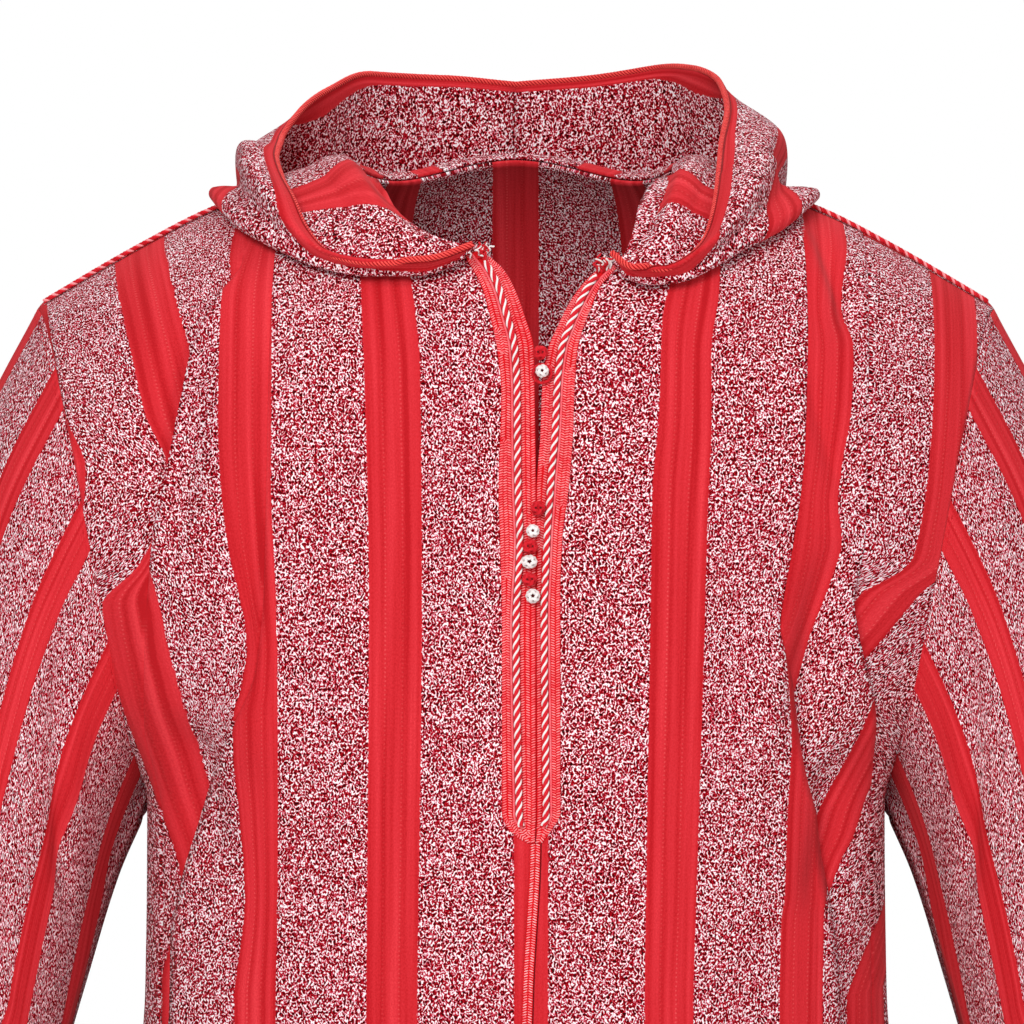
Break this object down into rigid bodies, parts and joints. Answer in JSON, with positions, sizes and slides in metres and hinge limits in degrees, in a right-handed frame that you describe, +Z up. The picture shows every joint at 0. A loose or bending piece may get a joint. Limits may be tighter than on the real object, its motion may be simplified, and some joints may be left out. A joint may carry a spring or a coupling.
{
  "type": "djellaba robe",
  "caption": "Long hooded robe in striped heavy cloth, worn open-necked with the hood down, hollow body and sleeves, a braided front placket and thread buttons.",
  "frame": {"origin": "midway between the two neck points of the shoulders, where the wearer's shoulders carry the robe", "axes": "+Z up, -Y out of the robe's front, +X towards the wearer's left"},
  "size_m": [0.722, 0.3593, 1.4478],
  "materials": {
    "striped_cloth": "matte woven cloth, red stripes on red and white heather",
    "hood_cloth": "matte woven cloth, red stripes on red and white heather",
    "red_braid": "soft sheen braid",
    "twisted_cord": "white and red twisted thread",
    "seam_cord": "matte thread",
    "white_thread": "matte wound thread",
    "red_thread": "matte knotted thread"
  },
  "bodies": {
    "root": {"front_right": "striped_cloth", "front_left": "striped_cloth", "back": "striped_cloth", "sleeve_right": "striped_cloth", "sleeve_left": "striped_cloth", "hood_right": "hood_cloth", "hood_left": "hood_cloth", "placket_braid_right": "red_braid", "placket_braid_left": "red_braid", "centre_braid": "red_braid", "hood_edge_braid": "red_braid", "placket_cord_right": "twisted_cord", "placket_cord_left": "twisted_cord", "shoulder_cord_right": "seam_cord", "shoulder_cord_left": "seam_cord", "button_1": "white_thread", "button_2": "white_thread", "button_3": "white_thread", "button_4": "white_thread", "button_loop": "red_thread", "knot_1": "red_thread", "knot_2": "red_thread", "knot_3": "red_thread", "knot_4": "red_thread"}
  },
  "joints": []
}
